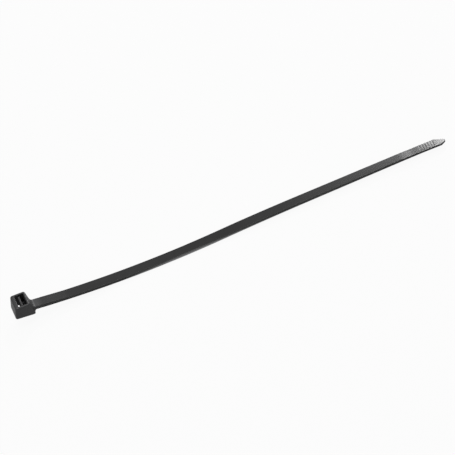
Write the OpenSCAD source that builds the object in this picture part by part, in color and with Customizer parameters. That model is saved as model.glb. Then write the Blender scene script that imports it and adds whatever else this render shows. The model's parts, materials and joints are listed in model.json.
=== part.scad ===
// Cable tie: one nylon moulding with a locking head, a toothed strap and a pointed tail.
// It lies as it comes to rest: toothed face down, balanced on its bowed belly.
// Side outlines are drawn as [along, up] and extruded across the strap.
// The head's outer end is at the low X end and the tip at the high X end.

/* [Strap] */
// Length from the outer end of the head to the tip
tie_len = 200; // [185:1:300]
// Width of the strap
strap_w = 4.8; // [4:0.1:6]
// Thickness of the strap over its side rails
strap_t = 1.4; // [1.2:0.05:1.6]
// Distance from the outer end of the head to where the strap starts to narrow and thin
narrow_from = 105; // [60:1:150]
// Thickness of the strap where the tail starts
end_t = 1.2; // [1.1:0.05:1.4]
// Thickness of the strap where it leaves the head
neck_t = 1.8; // [1.6:0.05:2.1]
// Length over which the strap thins after the neck
neck_run = 14; // [4:0.5:20]

/* [Teeth] */
// Distance from one tooth to the next
tooth_pitch = 1.25; // [1:0.05:1.6]
// Height of a tooth
tooth_h = 0.5; // [0.3:0.05:0.6]
// Flat on the crest of a tooth
tooth_land = 0.22; // [0.1:0.02:0.4]
// How far the steep face of a tooth leans toward the tip
tooth_rake = 0.06; // [0.02:0.02:0.2]
// Width of the smooth rail on each side of the teeth
rail_w = 0.8; // [0.5:0.05:1.2]
// How far the crests lie below the rails
crest_drop = 0.06; // [0.02:0.02:0.15]
// Distance from the outer end of the head to the first tooth
teeth_from = 22; // [16:0.5:40]
// Distance from the last tooth to the tip
teeth_stop = 27; // [24:0.5:50]

/* [Tail] */
// Width of the tail
tail_w = 4.2; // [3.8:0.1:4.8]
// Thickness of the tail
tail_t = 1.05; // [0.8:0.05:1.1]
// Distance from the start of the tail to the tip
tail_len = 21; // [18:0.5:24]
// Length of the slope from the strap down to the tail's thickness
slope_run = 5.5; // [3:0.5:7]
// Length of the long bevel at the tip
long_bevel = 4.4; // [3:0.1:6]
// Length of the short bevel at the tip
short_bevel = 2.2; // [1:0.1:3]
// Width of the blunt nose between the bevels
nose_w = 0.8; // [0.5:0.1:1.4]
// How far the nose lies off the middle, toward the short bevel
nose_shift = 0.4; // [0:0.1:0.8]
// Radius of the nose's corners
nose_r = 0.5; // [0.2:0.1:0.8]

/* [Grip] */
// Number of cross grooves on the tail
grip_count = 6; // [3:1:7]
// Distance from one groove to the next
grip_pitch = 1.2; // [1:0.05:1.5]
// Radius of a groove
grip_r = 0.42; // [0.3:0.02:0.5]
// Depth of a groove
grip_depth = 0.25; // [0.1:0.05:0.4]
// Distance from the last groove to the tip
grip_stop = 5.4; // [4:0.1:7]
// Plain edge left beside the grooves
grip_edge = 0.7; // [0.4:0.1:1.2]

/* [Head] */
// Height of the head at its outer end
head_h = 6.1; // [5.6:0.05:6.8]
// How far the head's top rises from its outer end toward the strap
top_rise = 0.6; // [0:0.05:0.65]
// How far the head stands out below the strap
head_drop = 0.6; // [0.2:0.05:1]
// Thickness of the outer end wall at the top; the strap bears on its inner face
end_wall_t = 1.75; // [1.4:0.05:2.8]
// How far the outer end wall leans, from top to bottom
end_lean = 0.5; // [0.2:0.05:1]
// Thickness of each side wall
side_wall_t = 1; // [0.9:0.05:1.6]
// Thickness of the wall over the strap, at the top
root_wall_t = 0.95; // [0.6:0.05:1.5]
// How far the wall over the strap leans, from top to bottom
root_lean = 2; // [1:0.1:3]
// Radius of the blend from the head down to the strap
root_blend = 2; // [1:0.1:2.6]
// Radius of the blend from the head in to the strap's sides
side_blend = 0.8; // [0.3:0.1:1.2]
// Radius of the head's upright corners
corner_r = 0.9; // [0.4:0.1:1.3]
// Radius of the head's top and bottom edges
edge_r = 0.3; // [0.1:0.05:0.5]

/* [Lock] */
// Side clearance between the strap and the passage, each side
side_clear = 0.95; // [0.4:0.05:1]
// Clearance in front of the strap where it enters the head
entry_clear = 0.75; // [0.5:0.05:1]
// How far the passage widens at the bottom of the head, each side
entry_flare = 0.6; // [0.3:0.05:0.6]
// Height over which the passage widens
entry_flare_h = 1; // [0.5:0.05:1.2]
// How far the pawl's teeth reach into the strap's way
pawl_bite = 0.25; // [0.2:0.05:0.5]
// Height of the pawl's teeth
pawl_tooth_h = 0.3; // [0.2:0.02:0.4]
// Most teeth on the pawl
pawl_teeth_max = 3; // [2:1:4]
// Thickness of the pawl at its tip, teeth included
pawl_tip_t = 0.9; // [0.6:0.05:1]
// Thickness of the pawl at its root, teeth left out
pawl_root_t = 0.9; // [0.7:0.05:1.1]
// How far the pawl's tip lies below the top of the head's outer end
pawl_drop = 0.2; // [0.1:0.05:0.8]
// Height of the floor that the pawl grows from, above the bottom of the head
pawl_floor = 1.5; // [1:0.05:2]
// Room behind the pawl's tip for it to bend into
flex_room = 1.75; // [1.6:0.05:2.2]
// Gap between the pawl and each side wall
pawl_gap = 0.6; // [0.3:0.05:0.9]

/* [Bow] */
// Length beside the head that is straight
straight_run = 17; // [10:1:24]
// Length of the belly, where the strap curls up
belly_run = 78; // [60:1:90]
// Angle of the belly's curl
belly_turn = 10.1; // [4:0.1:14]
// Length of the crest, where the strap curls back
crest_run = 36; // [20:1:42]
// Angle of the crest's curl
crest_turn = 2.1; // [0:0.1:3]
// Length of the last curl, at the tail
curl_run = 19; // [10:1:24]
// Angle of the last curl, back toward the surface
curl_turn = 2.5; // [1:0.1:4]

/* [Hidden] */
// Number of flats on a full turn of a rounded corner
corner_flats = 48;
// Longest flat along the bowed strap
bow_step = 5;
// How far a cutting shape runs past what it cuts
over = 1;
// How far a joined shape is sunk into what it joins
sink = 0.4;
// How far an outline that only rounds corners stays outside the wall between them
ease = 0.01;

slot_w = strap_w + 2 * side_clear;
head_w = slot_w + 2 * side_wall_t;
pawl_w = slot_w - 2 * pawl_gap;
slot_len = strap_t - pawl_bite + pawl_tip_t + flex_room;
// Heights of the head's top above the strap's lower face, at its outer end and over the strap
head_top = head_h - head_drop;
root_top = head_top + top_rise;
// Where the passage starts and where the head's top ends
slot_from = end_lean + end_wall_t;
head_len = slot_from + slot_len + root_wall_t;
root_foot = head_len + root_lean;
// Angles of the two leaning walls from upright
end_angle = atan2(end_lean, head_h);
root_angle = atan2(root_lean, head_h + top_rise);
// Where the leaning wall meets the neck, and where its blend ends
neck_meet = head_len + (root_top - neck_t) * tan(root_angle);
neck_from = neck_meet + root_blend * tan(45 - root_angle / 2);
neck_to = neck_from + neck_run;
tail_from = tie_len - tail_len;
slope_to = tail_from + slope_run;

// Pawl, between its root on the floor and its tip, along the valleys of its teeth
pawl_root = [slot_from + strap_t + entry_clear, pawl_floor - head_drop];
pawl_tip = [slot_from + strap_t - pawl_bite + pawl_tooth_h, head_top - pawl_drop];
pawl_len = norm(pawl_tip - pawl_root);
pawl_angle = atan2(pawl_root.x - pawl_tip.x, pawl_tip.y - pawl_root.y);
pawl_teeth = min(pawl_teeth_max, floor(pawl_len / tooth_pitch));

// The bow, as runs of [length, angle turned]; the run before the last is straight
even_run = tie_len - straight_run - belly_run - crest_run - curl_run;
BOW = [
    [straight_run, 0],
    [belly_run, belly_turn],
    [crest_run, -crest_turn],
    [even_run, 0],
    [curl_run, -curl_turn]
];

// Straight step across an arc of a length and a turn that starts at an angle
function chord(length, turn, angle) =
    let(reach = turn == 0 ? length : length * sin(turn / 2) / (turn / 2 * PI / 180))
    reach * [cos(angle + turn / 2), sin(angle + turn / 2)];

// Point on the strap's lower face, and its angle, at a distance from the head's outer end
function station(s, run = 0, start = [0, 0], angle = 0) =
    let(length = BOW[run][0], turn = BOW[run][1])
    s <= length || run == len(BOW) - 1
        ? [start + chord(s, turn * s / length, angle), angle + turn * s / length]
        : station(s - length, run + 1, start + chord(length, turn, angle), angle + turn);

// Point at a distance along the strap and a height over its lower face
function at(s, height) =
    let(here = station(s))
    here[0] + height * [-sin(here[1]), cos(here[1])];

// Even steps from one distance to another, without the last
function steps(from, to, longest) =
    let(count = max(1, ceil((to - from) / longest)))
    [for (i = [0 : count - 1]) from + (to - from) * i / count];

// One corner of an outline, as an arc that touches both of its edges
function corner(before, here, after, radius) =
    let(
        back = (before - here) / norm(before - here),
        ahead = (after - here) / norm(after - here),
        half = acos(back * ahead) / 2,
        room = min(norm(before - here), norm(after - here)) / 2,
        r = min(radius, room * tan(half)),
        centre = here + (back + ahead) / norm(back + ahead) * r / sin(half),
        first = here + back * r / tan(half) - centre,
        last = here + ahead * r / tan(half) - centre,
        from = atan2(first.y, first.x),
        turn = (atan2(last.y, last.x) - from + 540) % 360 - 180,
        count = max(1, ceil(abs(turn) * corner_flats / 360))
    )
    [for (i = [0 : count])
        centre + r * [cos(from + turn * i / count), sin(from + turn * i / count)]];

// An outline whose points are [x, y, radius], with each corner that has a radius rounded
function rounded(points) =
    let(count = len(points))
    [for (i = [0 : count - 1])
        let(
            here = points[i],
            before = points[(i + count - 1) % count],
            after = points[(i + 1) % count]
        )
        each here[2] == 0
            ? [[here.x, here.y]]
            : corner([before.x, before.y], [here.x, here.y], [after.x, after.y], here[2])];

// Distances along the strap at which its outline has a point
STATIONS = concat(
    [root_foot - over],
    steps(neck_from, neck_to, bow_step),
    steps(neck_to, narrow_from, bow_step),
    steps(narrow_from, tail_from, bow_step),
    steps(tail_from, slope_to, slope_run),
    steps(slope_to, tie_len, bow_step),
    [tie_len]
);

// Thickness of the strap at a distance along it
function thickness(s) = lookup(s, [
    [neck_from, neck_t],
    [neck_to, strap_t],
    [narrow_from, strap_t],
    [tail_from, end_t],
    [slope_to, tail_t]
]);

LOWER_LINE = [for (s = STATIONS) at(s, 0)];
UPPER_LINE = [for (i = [len(STATIONS) - 1 : -1 : 0]) at(STATIONS[i], thickness(STATIONS[i]))];

// The head's side outline, from its outer end to the blend on the strap
HEAD_SIDE = rounded([
    [0, -head_drop, edge_r],
    [root_foot, -head_drop, edge_r],
    [root_foot + head_drop, 0, 0],
    [neck_from + over, neck_t / 2, 0],
    [neck_from + over, neck_t, 0],
    [neck_meet, neck_t, root_blend],
    [head_len, root_top, edge_r],
    [end_lean, head_top, edge_r]
]);

// Balance point: the volumes of the head, the full strap, the neck's extra thickness, the
// narrowing strap and the tail, and the middle of each
gap_area = (strap_w - 2 * rail_w) * (crest_drop + tooth_h / 2);
full_area = strap_w * strap_t - gap_area;
end_area = tail_w * end_t - gap_area;
narrow_run = tail_from - narrow_from;
VOLUMES = [
    head_w * (head_len + (root_lean - end_lean) / 2) * (head_h + top_rise / 2)
        - slot_w * slot_len * (head_h + top_rise / 2 - pawl_floor),
    full_area * (narrow_from - root_foot),
    strap_w * (neck_t - strap_t) * (neck_from - root_foot + neck_run / 2),
    (full_area + end_area) / 2 * narrow_run,
    tail_w * tail_t * (tail_len - long_bevel / 2)
];
MIDDLES = [
    root_foot / 2,
    (root_foot + narrow_from) / 2,
    neck_from + neck_run / 3,
    narrow_from + narrow_run * (full_area + 2 * end_area) / (full_area + end_area) / 3,
    tie_len - (tail_len + long_bevel / 2) / 2
];
balance = VOLUMES * MIDDLES / (VOLUMES * [for (volume = VOLUMES) 1]);

// Rest: of all pairs of lower points, one on each side of the balance point, the tie bears
// on the pair whose line passes lowest beneath it; each pair is [height there, angle]
LOWER_POINTS = concat(HEAD_SIDE, LOWER_LINE);
BEARINGS = [
    for (a = LOWER_POINTS) if (a.x < balance)
        for (b = LOWER_POINTS) if (b.x > balance)
            [a.y + (b.y - a.y) * (balance - a.x) / (b.x - a.x), atan2(b.y - a.y, b.x - a.x)]
];
lowest = min([for (pair = BEARINGS) pair[0]]);
rest_angle = [for (pair = BEARINGS) if (pair[0] == lowest) pair[1]][0];

// Where an outline point goes as the tie tips over onto that line
function tipped(p) = [
    p.x * cos(rest_angle) + p.y * sin(rest_angle),
    p.y * cos(rest_angle) - p.x * sin(rest_angle)
];

TIPPED = [for (p = concat(LOWER_POINTS, [at(tie_len, tail_t)])) tipped(p)];
rest_x = (min([for (p = TIPPED) p.x]) + max([for (p = TIPPED) p.x])) / 2;
rest_z = min([for (p = TIPPED) p.y]);

// A side outline, extruded across the strap to a width
module across(width) {
    rotate([90, 0, 0])
        linear_extrude(height = width, center = true)
            children();
}

// Children placed on the strap's lower face at a distance along it
module on_strap(s) {
    here = station(s);
    translate([here[0].x, 0, here[0].y])
        rotate([0, -here[1], 0])
            children();
}

// Everything in the toothed band that lies below the teeth
module tooth_gaps() {
    count = floor((tie_len - teeth_stop - teeth_from) / tooth_pitch);
    root_h = crest_drop + tooth_h;
    starts = [for (i = [0 : count]) teeth_from + i * tooth_pitch];
    teeth = [for (i = [0 : count - 1]) each [
        at(starts[i], root_h),
        at(starts[i] + tooth_rake, crest_drop),
        at(starts[i] + tooth_rake + tooth_land, crest_drop)
    ]];
    below = [for (i = [count : -1 : 0]) at(starts[i], -over)];
    across(strap_w - 2 * rail_w)
        polygon(concat(teeth, [at(starts[count], root_h)], below));
}

// The outline of the narrowing strap and tail seen from above, with the tip at zero.
// It starts wider than the strap, so that its sides cross the strap's where it narrows
module narrow_outline(start) {
    half = tail_w / 2;
    nose = nose_w / 2;
    wide = half + (strap_w / 2 - half) * (start - tail_len) / narrow_run;
    polygon(rounded([
        [-start, wide, 0],
        [-tail_len, half, 0],
        [-long_bevel, half, nose_r],
        [0, nose - nose_shift, nose_r],
        [0, -nose - nose_shift, nose_r],
        [-short_bevel, -half, nose_r],
        [-tail_len, -half, 0],
        [-start, -wide, 0]
    ]));
}

// Everything beside the narrowing strap, the tail and its bevelled tip
module trimmed_sides() {
    start = tie_len - narrow_from + over;
    on_strap(tie_len)
        linear_extrude(height = 4 * head_h, center = true)
            difference() {
                translate([-start, -strap_w])
                    square([start + over, 2 * strap_w]);
                narrow_outline(start);
            }
}

// Round grooves across the upper face of the tail, open at the long bevel's side
module grip_grooves() {
    groove_len = tail_w - grip_edge + over;
    for (i = [0 : grip_count - 1])
        on_strap(tie_len - grip_stop - i * grip_pitch)
            translate([0, grip_edge - tail_w / 2, tail_t + grip_r - grip_depth])
                rotate([-90, 0, 0])
                    cylinder(r = grip_r, h = groove_len, $fn = 32);
}

// The strap and tail
module strap() {
    difference() {
        across(strap_w)
            polygon(concat(LOWER_LINE, UPPER_LINE));
        tooth_gaps();
        trimmed_sides();
        grip_grooves();
    }
}

// The outline seen down the outer end wall: its corners
module end_outline() {
    polygon(rounded([
        [-ease, -head_w / 2, corner_r],
        [root_foot + head_h, -head_w / 2, 0],
        [root_foot + head_h, head_w / 2, 0],
        [-ease, head_w / 2, corner_r]
    ]));
}

// The outline seen down the wall over the strap: its corners and the blends to the strap's sides
module root_outline() {
    far = root_foot + head_h;
    wall = root_foot * cos(root_angle) + ease;
    polygon(rounded([
        [-over, -head_w / 2, 0],
        [wall, -head_w / 2, corner_r],
        [wall, -strap_w / 2, side_blend],
        [far, -strap_w / 2, 0],
        [far, strap_w / 2, 0],
        [wall, strap_w / 2, side_blend],
        [wall, head_w / 2, corner_r],
        [-over, head_w / 2, 0]
    ]));
}

// The head without its passage
module head_block() {
    reach = 4 * head_h;
    intersection() {
        across(head_w)
            polygon(HEAD_SIDE);
        translate([0, 0, -head_drop])
            rotate([0, end_angle, 0])
                linear_extrude(height = reach, center = true)
                    end_outline();
        translate([0, 0, -head_drop])
            rotate([0, -root_angle, 0])
                linear_extrude(height = reach, center = true)
                    root_outline();
    }
}

// The passage for the strap, and the pocket that the pawl bends into.
// It widens sideways toward the bottom of the head, where the strap enters
module passage() {
    back = slot_from + slot_len;
    bottom = -head_drop - over;
    top = root_top + over;
    half = slot_w / 2;
    spread = entry_flare / entry_flare_h;
    translate([slot_from, 0, -head_drop])
        rotate([90, 0, 90])
            linear_extrude(height = pawl_root.x - slot_from)
                polygon([
                    [-half - entry_flare - spread * over, -over],
                    [half + entry_flare + spread * over, -over],
                    [half, entry_flare_h],
                    [-half, entry_flare_h]
                ]);
    across(slot_w)
        polygon(rounded([
            [slot_from, bottom, 0],
            [pawl_root.x, bottom, 0],
            [pawl_root.x, pawl_root.y, 0],
            [back, pawl_root.y, edge_r],
            [back, top, 0],
            [slot_from, top, 0]
        ]));
}

// The locking pawl: it leans toward the end wall and carries teeth on that side
module pawl() {
    web = pawl_tip_t - pawl_tooth_h;
    teeth = [for (i = [0 : pawl_teeth - 1]) each [
        [-pawl_tooth_h, pawl_len - i * tooth_pitch],
        [0, pawl_len - (i + 1) * tooth_pitch]
    ]];
    across(pawl_w)
        translate(pawl_root)
            rotate(pawl_angle)
                polygon(concat(
                    teeth,
                    [[0, 0], [sink, -sink], [pawl_root_t, -sink], [web, pawl_len]]
                ));
}

// The head with its passage and pawl
module head() {
    difference() {
        head_block();
        passage();
    }
    pawl();
}

// The whole tie, tipped over to where it rests
module cable_tie() {
    color([0.09, 0.09, 0.1])
        translate([-rest_x, 0, -rest_z])
            rotate([0, rest_angle, 0]) {
                head();
                strap();
            }
}

cable_tie();
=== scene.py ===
# %% [markdown]
# # A black nylon cable tie
# This lesson dresses one small moulding: a cable tie, 200 mm long, that lies on a pale table.
# A cable tie is a single piece of nylon. Its looks come from three things: long soft edges,
# a row of tiny saw teeth underneath, and a satin black skin that shows mostly by reflection.
# The engineering model is loaded first, because it fixes the size and the place of everything.

import json
import math

import bmesh
import bpy
import numpy as np
from mathutils import Matrix, Vector


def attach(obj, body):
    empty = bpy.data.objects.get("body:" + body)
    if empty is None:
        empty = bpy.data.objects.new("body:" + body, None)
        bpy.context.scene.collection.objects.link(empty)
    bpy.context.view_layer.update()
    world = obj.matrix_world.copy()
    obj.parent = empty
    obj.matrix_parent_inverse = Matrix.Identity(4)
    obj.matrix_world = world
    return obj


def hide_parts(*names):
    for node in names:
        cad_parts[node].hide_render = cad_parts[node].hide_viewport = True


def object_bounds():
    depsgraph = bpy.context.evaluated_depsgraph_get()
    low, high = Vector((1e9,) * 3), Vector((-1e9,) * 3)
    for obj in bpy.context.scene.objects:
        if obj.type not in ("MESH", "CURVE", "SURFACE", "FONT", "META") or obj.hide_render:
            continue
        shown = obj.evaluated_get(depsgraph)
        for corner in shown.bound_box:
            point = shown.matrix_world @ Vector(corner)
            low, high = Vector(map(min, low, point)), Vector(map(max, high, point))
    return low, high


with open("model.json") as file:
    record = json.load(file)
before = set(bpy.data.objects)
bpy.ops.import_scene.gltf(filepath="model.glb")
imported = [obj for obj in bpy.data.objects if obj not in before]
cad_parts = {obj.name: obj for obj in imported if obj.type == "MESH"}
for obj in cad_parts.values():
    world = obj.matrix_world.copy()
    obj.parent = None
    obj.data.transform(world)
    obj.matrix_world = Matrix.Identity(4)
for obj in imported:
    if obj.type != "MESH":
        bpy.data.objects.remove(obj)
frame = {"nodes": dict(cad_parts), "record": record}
cad_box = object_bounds()
cad_tie = frame["nodes"]["cable_tie"]
scene = bpy.context.scene
print("box of the frame in mm:", [[round(1000 * x, 2) for x in corner] for corner in cad_box])

# %% [markdown]
# ## The camera
# The photo is taken from about 45 degrees above, along the width of the strap, with a long lens
# and with the camera rolled so that the tie climbs from the lower left to the upper right.
# A camera can be aimed with a constraint, but three vectors say the same in one matrix and
# keep the roll exact: where it stands, which way it looks, and which way is up in the picture.

# %% Aim the camera
MM = 0.001
CAMERA_PLACE = Vector((-113.81, -698.72, 706.51)) * MM
CAMERA_LOOK = Vector((0.11213, 0.70057, -0.70472)).normalized()
CAMERA_UP = Vector((0.38099, 0.62468, 0.68163))
FOCAL_LENGTH = 185.11


def camera_matrix(place, look, up):
    """The matrix of a camera that stands at place, looks along look and holds up upright."""
    right = look.cross(up).normalized()
    true_up = right.cross(look)
    turn = Matrix((right, true_up, -look)).transposed().to_4x4()
    return Matrix.Translation(place) @ turn


camera_data = bpy.data.cameras.new("camera")
camera_data.lens = FOCAL_LENGTH
camera_data.sensor_width = 36.0
camera_data.clip_start = 0.01
camera_data.clip_end = 20.0
camera = bpy.data.objects.new("camera", camera_data)
scene.collection.objects.link(camera)
camera.matrix_world = camera_matrix(CAMERA_PLACE, CAMERA_LOOK, CAMERA_UP)
scene.camera = camera
print("camera stands", round(CAMERA_PLACE.length, 3), "m from the middle of the tie")

# %% [markdown]
# ## The line of the strap
# The strap isn't straight: it leaves the head, bellies down to the table, crests a little and
# curls down at the tail. A hand-drawn Bezier curve could follow it, but a few arcs, each with a
# length and an angle, are easier to read and never wobble. Every later step asks this line for
# a point at a distance along the strap and a height over its lower face.

# %% Bow the strap's line
TIE_LEN = 200.0
BOW = [(17.0, 0.0), (78.0, 10.1), (36.0, -2.1), (50.0, 0.0), (19.0, -2.5)]


def station(s):
    """The point (along, up) on the strap's lower face at distance s, and the angle there."""
    along, up, angle = 0.0, 0.0, 0.0
    for length, turn in BOW:
        run = min(s, length)
        bend = math.radians(turn * run / length)
        reach = run if bend == 0 else run * math.sin(bend / 2) / (bend / 2)
        along += reach * math.cos(angle + bend / 2)
        up += reach * math.sin(angle + bend / 2)
        angle += bend
        s -= run
    return along, up, angle


def at(s, height):
    """The point (along, up) at distance s and a height over the strap's lower face."""
    along, up, angle = station(s)
    return along - height * math.sin(angle), up + height * math.cos(angle)


print("the tip lies", round(at(TIE_LEN, 0)[1], 2), "mm over the line of the head")

# %% [markdown]
# ## Where the tie lies
# The line above starts level at the head, but the tie rests on its belly with the head tipped
# up. The frame already lies at rest, and its record gives the direction in which the head's
# lower face looks, so that direction and the ends of the frame's own mesh say where the line
# goes. Nothing is guessed, and the new mesh lands where the old one is. All modelling is done
# in millimetres in the tie's own directions, and one function turns that into metres.

# %% Find the tie's own directions
HEAD_DROP = 0.6
ACROSS = Vector((0.0, 1.0, 0.0))
lower_face = next(m for m in frame["record"]["mounts"] if m["name"] == "bundle_face")
UP = -Vector(lower_face["axis"]).normalized()
ALONG = ACROSS.cross(UP)

corners = [v.co for v in cad_tie.data.vertices]
outer_end = min(co.dot(ALONG) for co in corners)
tip = max(co.dot(ALONG) for co in corners)
head_bottom = min(co.dot(UP) for co in corners if co.dot(ALONG) < outer_end + 6 * MM)
TIE_START = ALONG * (tip - at(TIE_LEN, 0)[0] * MM) + UP * (head_bottom + HEAD_DROP * MM)


def to_tie(co):
    """A point of the table, in metres, as (along, across, up) on the tie, in millimetres."""
    way = (co - TIE_START) / MM
    return Vector((way.dot(ALONG), way.dot(ACROSS), way.dot(UP)))


def to_table(co):
    """The reverse of to_tie."""
    return TIE_START + (ALONG * co[0] + ACROSS * co[1] + UP * co[2]) * MM


print("the head is tipped by", round(math.degrees(math.asin(-ALONG.z)), 2), "degrees")

# %% [markdown]
# ## The head
# The head is a block with a passage, a springy pawl and soft blends down to the strap. In the
# frame its edges are knife sharp, which no moulding has. Bevelling dozens of crossing edges by
# hand breaks easily where blends meet, so another way is used: the head is cut off, filled to a
# closed solid, and remade by a voxel remesh, which fuses everything to one skin of tiny even
# faces, ready to be smoothed. The white dot that shows through the passage is smaller in the photo
# than the frame's flared mouth would make it, so the flare's outer points are drawn in first.

# %% Cut the head from the frame
HEAD_CUT = 13.5
VOXEL, WELD = 0.09, 0.002
PASSAGE, PASSAGE_HALF, SIDE_WALL = (2.2, 4.45), 3.36, 4.2
SHOWN_FLARE, FLARE_STOP = 0.3, 3.6


def cut_across(bm, along, keep_head):
    """Cuts a mesh at a distance along the tie and drops one side of the cut."""
    geometry = bm.verts[:] + bm.edges[:] + bm.faces[:]
    bmesh.ops.bisect_plane(
        bm,
        geom=geometry,
        plane_co=(along, 0, 0),
        plane_no=(1, 0, 0),
        clear_outer=keep_head,
        clear_inner=not keep_head,
    )


def open_edges(bm):
    """The edges that have a face on one side only."""
    return [edge for edge in bm.edges if len(edge.link_faces) == 1]


head_mesh = bpy.data.meshes.new("head")
bm = bmesh.new()
bm.from_mesh(cad_tie.data)
for vert in bm.verts:
    vert.co = to_tie(vert.co)
    if PASSAGE[0] < vert.co.x < PASSAGE[1] and PASSAGE_HALF < abs(vert.co.y) < SIDE_WALL:
        vert.co.x = min(vert.co.x, FLARE_STOP)
        vert.co.y = math.copysign(PASSAGE_HALF + SHOWN_FLARE, vert.co.y)
bmesh.ops.remove_doubles(bm, verts=bm.verts, dist=WELD)
cut_across(bm, HEAD_CUT, keep_head=True)
bmesh.ops.holes_fill(bm, edges=open_edges(bm))
bmesh.ops.recalc_face_normals(bm, faces=bm.faces)
bm.to_mesh(head_mesh)
print("faces of the cut head:", len(bm.faces), "open edges:", len(open_edges(bm)))
bm.free()

# %% Remesh the head
head = bpy.data.objects.new("head", head_mesh)
scene.collection.objects.link(head)
fuse = head.modifiers.new("fuse", "REMESH")
fuse.mode = "VOXEL"
fuse.voxel_size = VOXEL
fused = bpy.data.meshes.new_from_object(head.evaluated_get(bpy.context.evaluated_depsgraph_get()))
bpy.data.objects.remove(head)
print("faces of the fused head:", len(fused.polygons))

# %% [markdown]
# ## Soft edges
# In the photo the head's outer corners are well rounded, while the edges of the passage look
# crisp. One smoothing for all would lose that difference. So the points are moved toward their
# neighbours in several passes: a few rounds everywhere, some more on the head, and the most on
# the head's outer skin. Each outer pass stops a little earlier along the tie, so that the
# softening fades out toward the strap and leaves no step.

# %% Soften the head
SOFTEN_ROUNDS, HEAD_ROUNDS, OUTER_ROUNDS = 6, 8, 12
HEAD_STOP, OUTER_STOPS = 9.8, (9.6, 9.2, 8.8, 8.4)
RIM_FROM, RIM_TO, RIM_SIDE = 1.1, 6.6, 3.85
JOINT_CUT = 12.5


def soften(bm, verts, rounds):
    """Moves every point halfway to the middle of its neighbours, several times."""
    for _ in range(rounds):
        bmesh.ops.smooth_vert(
            bm, verts=verts, factor=0.5, use_axis_x=True, use_axis_y=True, use_axis_z=True
        )


def is_outer(co, stop):
    """Whether a point lies before stop and in the head's outer skin, off the passage's rim."""
    on_rim = RIM_FROM < co.x < RIM_TO and abs(co.y) < RIM_SIDE
    return co.x < stop and not on_rim


tie = bmesh.new()
tie.from_mesh(fused)
soften(tie, tie.verts[:], SOFTEN_ROUNDS)
soften(tie, [v for v in tie.verts if v.co.x < HEAD_STOP], HEAD_ROUNDS)
for stop in OUTER_STOPS:
    soften(tie, [v for v in tie.verts if is_outer(v.co, stop)], OUTER_ROUNDS)
cut_across(tie, JOINT_CUT, keep_head=True)
rim = {v for edge in open_edges(tie) for v in edge.verts}
print("faces of the soft head:", len(tie.faces), " points on its rim:", len(rim))

# %% [markdown]
# ## The section of the strap
# Seen on its cut end, the strap is a flat bar with softly rounded upper edges, tighter lower
# edges and a shallow channel below, where the teeth stand between two rails. A Bezier bevel
# object could be swept along a curve, but the section changes on the way: it narrows, gets
# teeth and ends in a point. So one function returns the section as a ring of points for any
# width, thickness and channel depth, always the same number of points in the same order. Each
# rounded corner is held by one more point just past its ends, as a holding edge does, so that
# smooth shading bends the light on the corner only and leaves the flats flat.

# %% Draw one section
CORNER_STEPS = 4
HOLD = 0.03
RAIL_INSIDE, RAIL_SHARE = 1.6, 0.4
CHANNEL_SLOPE, STEP_SLOPE = 0.05, 0.02
ROUND_WIDTH, ROUND_HEIGHT = 0.3, 0.45


def arc(centre, radius, first, last):
    """Points of an arc between two angles in degrees, with one more just past each of its ends."""
    turns = [math.radians(first + (last - first) * i / CORNER_STEPS) for i in range(CORNER_STEPS + 1)]
    points = [(centre[0] + radius * math.cos(t), centre[1] + radius * math.sin(t)) for t in turns]
    hold = math.copysign(HOLD, last - first)
    (x, y), t = points[0], turns[0]
    before = (x + hold * math.sin(t), y - hold * math.cos(t))
    (x, y), t = points[-1], turns[-1]
    after = (x - hold * math.sin(t), y + hold * math.cos(t))
    return [before] + points + [after]


def section(near, far, top, groove, groove_from, channel, upper_r, lower_r):
    """A ring of (across, height) points of the strap, from its near lower edge round the top.

    near and far are the places of its two sides, groove is how deep a grip groove lies in the
    upper face beyond groove_from, and channel is how deep the toothed band is cut. The rounded
    corners never take more than a share of the width and the height.
    """
    low = top - groove
    most = min((far - near) * ROUND_WIDTH, low * ROUND_HEIGHT)
    upper, lower = min(upper_r, most), min(lower_r, most)
    step = min(max(groove_from, near + upper + 2 * HOLD), far - upper - 2 * HOLD)
    middle = (near + far) / 2
    half = min(RAIL_INSIDE, (far - near) * RAIL_SHARE)
    ring = arc((near + lower, lower), lower, 270, 180)
    ring += arc((near + upper, top - upper), upper, 180, 90)
    ring += [(step - STEP_SLOPE, top), (step + STEP_SLOPE, low), ((step + far) / 2, low)]
    ring += arc((far - upper, low - upper), upper, 90, 0)
    ring += arc((far - lower, lower), lower, 0, -90)
    ring += [(middle + half, 0), (middle + half - CHANNEL_SLOPE, channel)]
    ring += [(middle, channel), (middle - half + CHANNEL_SLOPE, channel), (middle - half, 0)]
    return ring


print("points round one section:", len(section(-2.4, 2.4, 1.4, 0, 0, 0.5, 0.3, 0.15)))

# %% [markdown]
# ## How the section changes along the strap
# The strap is thicker beside the head, narrows and thins over its second half, slopes down to
# the tail. Each of these is a small table of places and values, and numpy's interp reads between
# them. Tapering a finished bar with a lattice would also bend its teeth, so the sizes are known
# before any point is placed.

# %% Sizes along the strap
STRAP_W, TAIL_W = 4.8, 4.2
NARROW_FROM, TAIL_FROM = 105.0, 179.0
NECK = (9.774, 1.8)
UPPER_R, LOWER_R = 0.1, 0.12
THICKNESS = [NECK, (23.774, 1.4), (NARROW_FROM, 1.4), (TAIL_FROM, 1.2), (184.5, 1.05)]


def thickness(s):
    """How thick the strap is at distance s."""
    places, values = zip(*THICKNESS)
    return float(np.interp(s, places, values))


def half_width(s):
    """Half the strap's width at distance s, before the tip's bevels."""
    return float(np.interp(s, [NARROW_FROM, TAIL_FROM], [STRAP_W / 2, TAIL_W / 2]))


print("thickness beside the head and at the tail:", [round(thickness(s), 2) for s in (20, 190)])

# %% [markdown]
# ## The pointed tip
# The tip has one long and one short bevel, so that it finds its way into the passage, and a blunt
# nose. Each side of it is a line with two rounded corners, drawn once as a list of points. The
# sections that come later read their own two sides from these lists.

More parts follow.
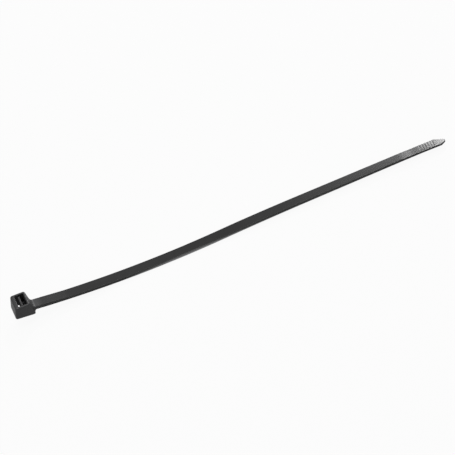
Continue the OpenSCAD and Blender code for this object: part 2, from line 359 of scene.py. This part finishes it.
# %% Draw the sides of the tip
LONG_BEVEL, SHORT_BEVEL = 4.4, 2.2
STRAIGHT_SIDE = 4.0
NOSE_W, NOSE_SHIFT, NOSE_R = 0.8, 0.4, 0.5


def rounded_side(before, corner, after, radius, steps=6):
    """The corner of an outline as an arc that touches both of its edges."""
    before, corner, after = Vector(before), Vector(corner), Vector(after)
    back, ahead = (before - corner).normalized(), (after - corner).normalized()
    half = back.angle(ahead) / 2
    cut = min(radius / math.tan(half), (after - corner).length)
    radius = cut * math.tan(half)
    centre = corner + (back + ahead).normalized() * radius / math.sin(half)
    first, last = corner + back * cut - centre, corner + ahead * cut - centre
    spokes = [first.lerp(last, i / steps).normalized() * radius for i in range(steps + 1)]
    return [tuple(centre + spoke) for spoke in spokes]


def tip_side(bevel, side, nose):
    """One side of the tip as (distance, across) points, from its bevel to the blunt nose."""
    shoulder = (TIE_LEN - bevel, side * TAIL_W / 2)
    corner = (TIE_LEN, nose)
    back = (TIE_LEN - bevel - STRAIGHT_SIDE, side * TAIL_W / 2)
    end = (TIE_LEN, -NOSE_SHIFT)
    return rounded_side(back, shoulder, corner, NOSE_R) + rounded_side(shoulder, corner, end, NOSE_R)


FAR_TIP = tip_side(LONG_BEVEL, 1, NOSE_W / 2 - NOSE_SHIFT)
NEAR_TIP = tip_side(SHORT_BEVEL, -1, -NOSE_W / 2 - NOSE_SHIFT)


def sides(s):
    """The places across the strap of its near and its far side at distance s."""
    near, far = -half_width(s), half_width(s)
    if s > NEAR_TIP[0][0]:
        near = float(np.interp(s, *zip(*NEAR_TIP)))
    if s > FAR_TIP[0][0]:
        far = float(np.interp(s, *zip(*FAR_TIP)))
    return near, far


print("width at the head, at the tail and at the nose:",
      [round(sides(s)[1] - sides(s)[0], 2) for s in (20, 185, TIE_LEN)])

# %% [markdown]
# ## Teeth and grip grooves
# The teeth are a saw: a steep face toward the head, a narrow flat, and a long ramp toward the
# tail. Since the section already has a channel depth, a tooth is only three rings at the right
# places. The grip grooves on the tail catch the light only as thin faint lines, so here they are
# soft shallow creases, and each gets a few rings that follow a wave. An array modifier could
# repeat one tooth, but it couldn't follow the bow.

# %% Place the teeth and the grooves
TOOTH_PITCH, TOOTH_H, TOOTH_LAND, TOOTH_RAKE, CREST_DROP = 1.25, 0.5, 0.22, 0.06, 0.06
TEETH_FROM, TEETH_STOP = 22.0, 27.0
CHANNEL_STEP = 0.02
GRIP_COUNT, GRIP_PITCH, GRIP_HALF, GRIP_DEPTH, GRIP_STOP, GRIP_EDGE = 6, 1.2, 0.28, 0.01, 5.4, 0.7

tooth_count = int((TIE_LEN - TEETH_STOP - TEETH_FROM) / TOOTH_PITCH)
teeth_end = TEETH_FROM + tooth_count * TOOTH_PITCH
tooth_places = [TEETH_FROM + i * TOOTH_PITCH for i in range(tooth_count)]
groove_places = [TIE_LEN - GRIP_STOP - i * GRIP_PITCH for i in range(GRIP_COUNT)]


def tooth_rings():
    """Pairs of distance and channel depth that draw every tooth."""
    rings = []
    for s in tooth_places:
        rings += [(s, CREST_DROP + TOOTH_H), (s + TOOTH_RAKE, CREST_DROP)]
        rings += [(s + TOOTH_RAKE + TOOTH_LAND, CREST_DROP)]
    return rings + [(teeth_end, CREST_DROP + TOOTH_H)]


def groove_depth(s):
    """How deep the creases lie at distance s: half a wave on each side of its middle."""
    nearest = min(abs(s - place) for place in groove_places)
    return GRIP_DEPTH * (1 + math.cos(math.pi * min(1.0, nearest / GRIP_HALF))) / 2


def plain_rings(start, end, longest):
    """Even distances without teeth, as pairs of distance and a channel depth of nothing."""
    count = max(1, math.ceil((end - start) / longest))
    return [(start + (end - start) * i / count, 0.0) for i in range(count)]


def groove_rings():
    """Distances that cut each groove into even steps."""
    cuts = (-1, -0.7, -0.35, 0, 0.35, 0.7, 1)
    return [(place + GRIP_HALF * cut, 0.0) for place in reversed(groove_places) for cut in cuts]


print("teeth:", tooth_count, " grooves:", len(groove_places))

# %% [markdown]
# ## Sweep the strap onto the head
# Now the rings are laid along the line one after another and joined by faces. The first ring
# stands just past the head's cut end, whose rim is a loop of tiny edges. Bridge Edge Loops wants
# loops with like numbers of points, so a short function zips the two together instead: head and
# strap become one closed skin, as the moulding is. The last ring is closed by one face, the
# blunt end of the nose.

# %% Lay the rings
JOINT_GAP = 0.12
RING_STEP, RING_SPARE = 1.25, 0.05
EDGE_EASE, JOINT_R = 6.0, 0.1


def edge_radius(s, full):
    """The edges are tight at the joint, where the softened head sets them, and widen from it."""
    return float(np.interp(s, [JOINT_CUT, JOINT_CUT + EDGE_EASE], [JOINT_R, full]))


def ring_points(s, channel):
    """The section at distance s, as points on the tie."""
    near, far = sides(s)
    groove = groove_depth(s)
    upper_r, lower_r = edge_radius(s, UPPER_R), edge_radius(s, LOWER_R)
    edge = near + GRIP_EDGE
    ring = section(near, far, thickness(s), groove, edge, channel, upper_r, lower_r)
    return [(*at(s, height), across) for across, height in ring]


tip_places = sorted({round(p[0], 4) for p in FAR_TIP + NEAR_TIP})
first_ring = JOINT_CUT + JOINT_GAP
grooved = groove_rings()
before_teeth = TEETH_FROM - CHANNEL_STEP
rings = plain_rings(first_ring, before_teeth, RING_STEP) + [(before_teeth, 0.0)]
rings += tooth_rings() + [(teeth_end + CHANNEL_STEP, 0.0)]
rings += plain_rings(teeth_end + RING_STEP, grooved[0][0], RING_STEP) + grooved
rings += [(s, 0.0) for s in tip_places if s > grooved[-1][0] + RING_SPARE]
rows = [
    [tie.verts.new((along, across, up)) for along, up, across in ring_points(s, channel)]
    for s, channel in rings
]
print("rings along the strap:", len(rows))

# %% [markdown]
# ## Weld the two
# The remesh works in layers, so it leaves faint terraces on the neck's gentle slope, and they
# would glint. The line of the strap knows the right height there, so the neck's upper points are
# set to it before the weld. At last each edge is marked sharp or smooth by its angle: the teeth
# keep their hard edges, and the rest shades as one soft skin.

# %% Join the rings and weld the head
HEAD_SHARP, STRAP_SHARP = math.radians(60), math.radians(25)
NECK_FLAT, NECK_LOW = 2.2, 1.2


def round_the_clock(verts, middle):
    """The vertices of a loop in the order in which a clock hand passes them, and its angles."""
    angle = {v: math.atan2(v.co.z - middle, v.co.y) for v in verts}
    loop = sorted(verts, key=angle.get)
    return loop, [angle[v] for v in loop] + [angle[loop[0]] + 2 * math.pi]


def zip_loops(bm, first, second, middle):
    """Joins two loops with different numbers of vertices, as a zip does, tooth by tooth."""
    a, a_angles = round_the_clock(first, middle)
    b, b_angles = round_the_clock(second, middle)
    i = j = 0
    while i < len(a) or j < len(b):
        if j == len(b) or (i < len(a) and a_angles[i + 1] < b_angles[j + 1]):
            bm.faces.new((a[i], a[(i + 1) % len(a)], b[j % len(b)]))
            i += 1
        else:
            bm.faces.new((b[j], a[i % len(a)], b[(j + 1) % len(b)]))
            j += 1


for vert in tie.verts:
    along, across, up = vert.co
    if NECK[0] < along < JOINT_CUT and abs(across) < NECK_FLAT and up > NECK_LOW:
        vert.co.z = thickness(along)
zip_loops(tie, rim, rows[0], thickness(JOINT_CUT) / 2)
for row, after in zip(rows, rows[1:]):
    for k in range(len(row)):
        tie.faces.new((row[k - 1], row[k], after[k], after[k - 1]))
tie.faces.new(rows[-1])
bmesh.ops.recalc_face_normals(tie, faces=tie.faces)
for edge in tie.edges:
    limit = STRAP_SHARP if edge.verts[0].co.x > JOINT_CUT + JOINT_GAP / 2 else HEAD_SHARP
    edge.smooth = edge.calc_face_angle(0) < limit
for face in tie.faces:
    face.smooth = True
print("open edges left:", len(open_edges(tie)))

# %% [markdown]
# ## Onto the table
# The whole skin is still in the tie's own directions, so every point is turned into metres on the
# table. The belly's fine arcs reach a few thousandths of a millimetre lower than the frame's
# flats, and the lowest points are lifted to the table.

# %% Put the tie on the table
for vert in tie.verts:
    vert.co = to_table(vert.co)
    vert.co.z = max(vert.co.z, cad_box[0][2])
tie_mesh = bpy.data.meshes.new("tie")
tie.to_mesh(tie_mesh)
tie.free()
nylon_tie = bpy.data.objects.new("nylon_tie", tie_mesh)
scene.collection.objects.link(nylon_tie)
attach(nylon_tie, "root")
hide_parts("cable_tie")
print("triangles of the tie:", sum(len(face.vertices) - 2 for face in tie_mesh.polygons))

# %% [markdown]
# ## Black nylon
# The nylon is coloured black all through and comes from a polished steel mould, so it is satin
# rather than shiny: a dark body under soft reflections. The strap shines more than the head, whose
# mould is textured, and a texture also makes the black a bit lighter. One dark colour with one
# gloss would look like ink. So gloss and black follow the place along the tie, a stretched noise
# lets the gloss drift in streaks as nylon flows along a mould, a second noise shifts the black a
# little, and a fine one makes the grain. The index of refraction stays a plain number on the
# shader, because it is the same all over.

# %% Tools for materials
def add(tree, kind, **values):
    """A node of that kind with some of its inputs set."""
    node = tree.nodes.new(kind)
    for name, value in values.items():
        node.inputs[name.replace("_", " ")].default_value = value
    return node


def calculate(tree, operation, first, second):
    """A math node on two values, each of them a socket or a number."""
    node = tree.nodes.new("ShaderNodeMath")
    node.operation = operation
    for socket, value in zip(node.inputs, (first, second)):
        if isinstance(value, bpy.types.NodeSocket):
            tree.links.new(value, socket)
        else:
            socket.default_value = value
    return node.outputs["Value"]


def remap(tree, value, span, result):
    """A value's span remapped to a result span, and held at its ends."""
    ends = {"From_Min": span[0], "From_Max": span[1], "To_Min": result[0], "To_Max": result[1]}
    node = add(tree, "ShaderNodeMapRange", **ends)
    tree.links.new(value, node.inputs["Value"])
    return node.outputs["Result"]


# %% Start the nylon with its gloss
HEAD_GLOSS, STRAP_GLOSS, GLOSS_DRIFT = 0.42, 0.262, 0.012
HEAD_END, STRAP_START = -0.0905, -0.0865
NOISE_LOW, NOISE_HIGH = 0.3, 0.7

nylon = bpy.data.materials.new("black_nylon")
nylon.use_nodes = True
tree = nylon.node_tree
tree.nodes.clear()
link = tree.links.new
output = tree.nodes.new("ShaderNodeOutputMaterial")
skin = add(tree, "ShaderNodeBsdfPrincipled", IOR=1.53)
link(skin.outputs["BSDF"], output.inputs["Surface"])
place = tree.nodes.new("ShaderNodeTexCoord").outputs["Object"]
axes = tree.nodes.new("ShaderNodeSeparateXYZ")
link(place, axes.inputs["Vector"])

flow = add(tree, "ShaderNodeMapping", Scale=(60, 400, 400))
link(place, flow.inputs["Vector"])
streaks = add(tree, "ShaderNodeTexNoise", Scale=1.0, Detail=3.0, Roughness=0.6)
link(flow.outputs["Vector"], streaks.inputs["Vector"])
drift = remap(tree, streaks.outputs["Fac"], (NOISE_LOW, NOISE_HIGH), (-GLOSS_DRIFT, GLOSS_DRIFT))
gloss = remap(tree, axes.outputs["X"], (HEAD_END, STRAP_START), (HEAD_GLOSS, STRAP_GLOSS))
link(calculate(tree, "ADD", gloss, drift), skin.inputs["Roughness"])
print("nodes for the gloss:", len(tree.nodes))

# %% Mix the blacks
DARK, LESS_DARK = (0.006, 0.006, 0.0064, 1), (0.0095, 0.0095, 0.01, 1)
HEAD_BLACK = (0.024, 0.024, 0.025, 1)


def mix_colours(tree, factor, first, second):
    """A mix of a colour socket and a plain colour, by a factor from 0 to 1."""
    node = tree.nodes.new("ShaderNodeMix")
    node.data_type = "RGBA"
    tree.links.new(factor, node.inputs["Factor"])
    tree.links.new(first, node.inputs["A"])
    node.inputs["B"].default_value = second
    return node.outputs["Result"]


clouds = add(tree, "ShaderNodeTexNoise", Scale=250.0, Detail=4.0)
link(place, clouds.inputs["Vector"])
black = tree.nodes.new("ShaderNodeValToRGB")
black.color_ramp.elements[0].position = NOISE_LOW
black.color_ramp.elements[0].color = DARK
black.color_ramp.elements[1].position = NOISE_HIGH
black.color_ramp.elements[1].color = LESS_DARK
link(clouds.outputs["Fac"], black.inputs["Fac"])

on_head = remap(tree, axes.outputs["X"], (HEAD_END, STRAP_START), (1, 0))
blacks = mix_colours(tree, on_head, black.outputs["Color"], HEAD_BLACK)
print("nodes for gloss and black:", len(tree.nodes))

# %% [markdown]
# ## A lighter line on the lower edge
# A lighter grey line runs along the strap's lower edge where the belly comes down to the
# table. It is drawn as grey mixed into the black colour. It could be painted on the mesh, but two
# facts already say where it is: how low over the table the skin lies, and how far from the strap's
# middle. The line sits a little nearer to the tail than the belly's lowest point, so the height
# is measured from a plane with a slight lean. Height and distance are remapped to shares from 0
# to 1, and their product mixes grey into the black.

# %% Grey the lower edges
# A lighter grey line, mixed into the base colour along the lower edge where the skin lies low over
# the table.
LOWER_EDGE_GREY = (0.4, 0.4, 0.408, 1)
EDGE_GREY_FULL, EDGE_GREY_NONE, EDGE_GREY_LEAN = 0.0004, 0.0018, 0.012
EDGE_NONE, EDGE_FULL = 0.0021, 0.0023

lean = calculate(tree, "MULTIPLY", axes.outputs["X"], EDGE_GREY_LEAN)
height = calculate(tree, "SUBTRACT", axes.outputs["Z"], lean)
low = remap(tree, height, (EDGE_GREY_FULL, EDGE_GREY_NONE), (1, 0))
sideways = calculate(tree, "ABSOLUTE", axes.outputs["Y"], 0)
outside = remap(tree, sideways, (EDGE_NONE, EDGE_FULL), (0, 1))
edge_grey = calculate(tree, "MULTIPLY", low, outside)
link(mix_colours(tree, edge_grey, blacks, LOWER_EDGE_GREY), skin.inputs["Base Color"])
print("nodes for gloss and colour:", len(tree.nodes))

# %% [markdown]
# ## The grain
# Close up, moulded nylon isn't glass smooth: the skin has a grain of about a tenth of a
# millimetre. Displacing the mesh would need millions of faces, so a bump only bends the light,
# and so little that it softens the reflections without drawing dots.

# %% Give the nylon its grain
grain = add(tree, "ShaderNodeTexNoise", Scale=9000.0, Detail=2.0)
link(place, grain.inputs["Vector"])
spark = add(tree, "ShaderNodeBump", Strength=0.03, Distance=0.00002)
link(grain.outputs["Fac"], spark.inputs["Height"])
link(spark.outputs["Normal"], skin.inputs["Normal"])
nylon_tie.data.materials.append(nylon)
print("nodes in the nylon:", len(tree.nodes))

# %% [markdown]
# ## Table and light
# The photo has a pure white ground and hardly a shadow. More light would wash out the black,
# so the white comes from the floor itself: to the camera it is mostly its own white, and only
# partly lit paper, which keeps a faint shadow. The light is a plain pale world, a large softbox
# right above, and a small one behind and to the right. The bowed strap is a long curved mirror,
# so it shows that small box toward its tail only, and the black fades to grey there.

# %% Lay the floor
FLOOR_HALF = 3.0
OWN_WHITE = 0.93
PAPER = (0.62, 0.62, 0.62, 1)

floor_mesh = bpy.data.meshes.new("floor")
bm = bmesh.new()
bmesh.ops.create_grid(bm, x_segments=2, y_segments=2, size=FLOOR_HALF)
bm.to_mesh(floor_mesh)
bm.free()
floor = bpy.data.objects.new("floor", floor_mesh)
scene.collection.objects.link(floor)

paper = bpy.data.materials.new("white_table")
paper.use_nodes = True
tree = paper.node_tree
tree.nodes.clear()
link = tree.links.new
output = tree.nodes.new("ShaderNodeOutputMaterial")
lit = add(tree, "ShaderNodeBsdfDiffuse", Color=PAPER)
own = add(tree, "ShaderNodeEmission", Color=(1, 1, 1, 1), Strength=1.0)
rays = tree.nodes.new("ShaderNodeLightPath")
mix = tree.nodes.new("ShaderNodeMixShader")
link(calculate(tree, "MULTIPLY", rays.outputs["Is Camera Ray"], OWN_WHITE), mix.inputs["Fac"])
link(lit.outputs["BSDF"], mix.inputs[1])
link(own.outputs["Emission"], mix.inputs[2])
link(mix.outputs["Shader"], output.inputs["Surface"])
floor.data.materials.append(paper)
print("floor:", 2 * FLOOR_HALF, "m square")

# %% Light the scene
WORLD_LEVEL = 0.5
BACK_SIZE, BACK_WATTS = 0.12, 2.9
TOP_PLACE, TOP_SIZE, TOP_WATTS = (0, 0, 2.0), 1.0, 13.0
TAIL = Vector((0.09, 0, 0.005))
BACK_WAY = Vector((0.5, 1.0, 1.0)).normalized()

world = bpy.data.worlds.new("pale_room")
world.use_nodes = True
world.node_tree.nodes["Background"].inputs["Color"].default_value = (1, 1, 1, 1)
world.node_tree.nodes["Background"].inputs["Strength"].default_value = WORLD_LEVEL
scene.world = world
scene.view_settings.view_transform = "Standard"


def softbox(name, place, aim, size, watts):
    """A square area lamp at place that shines toward aim, with one side along the tie."""
    data = bpy.data.lights.new(name, "AREA")
    data.shape = "SQUARE"
    data.size = size
    data.energy = watts
    lamp = bpy.data.objects.new(name, data)
    scene.collection.objects.link(lamp)
    way = (Vector(aim) - Vector(place)).normalized()
    lamp.matrix_world = camera_matrix(Vector(place), way, Vector((1, 0, 0)))
    return lamp


softbox("back_softbox", TAIL + BACK_WAY, TAIL, BACK_SIZE, BACK_WATTS)
softbox("top_softbox", TOP_PLACE, (0, 0, 0), TOP_SIZE, TOP_WATTS)
